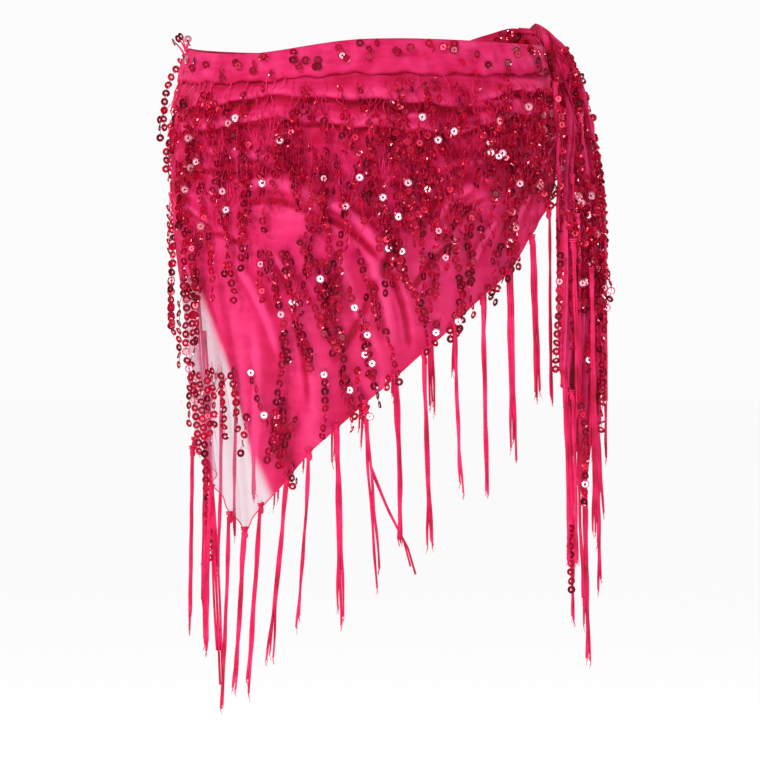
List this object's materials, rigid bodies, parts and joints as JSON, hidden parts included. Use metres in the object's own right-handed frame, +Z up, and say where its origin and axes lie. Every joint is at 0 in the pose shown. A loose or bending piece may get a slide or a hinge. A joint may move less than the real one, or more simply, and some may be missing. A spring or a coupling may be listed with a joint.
{
  "type": "belly dance hip scarf",
  "caption": "Hot pink triangular net hip scarf tied at the left hip, with a fold-over top band, hanging sequin chains and a fringe of cord tassels.",
  "frame": {"origin": "centre of the opening round the hips, at the height of the top edge in front, where the wearer holds the scarf up", "axes": "+Z up, -Y the way the wearer faces, +X towards the wearer's left hip, where the scarf is tied"},
  "size_m": [0.4118, 0.2591, 0.6428],
  "materials": {
    "net": "sheer hot pink net",
    "cord": "soft twisted cord"
  },
  "bodies": {
    "root": {"net_front": "net", "net_back": "net", "band_front": "net", "band_back": "net", "knot": "net", "tail_front": "net", "tail_back": "net", "fringe_front": "cord", "fringe_back": "cord", "fringe_tail_front": "cord", "fringe_tail_back": "cord"}
  },
  "joints": []
}
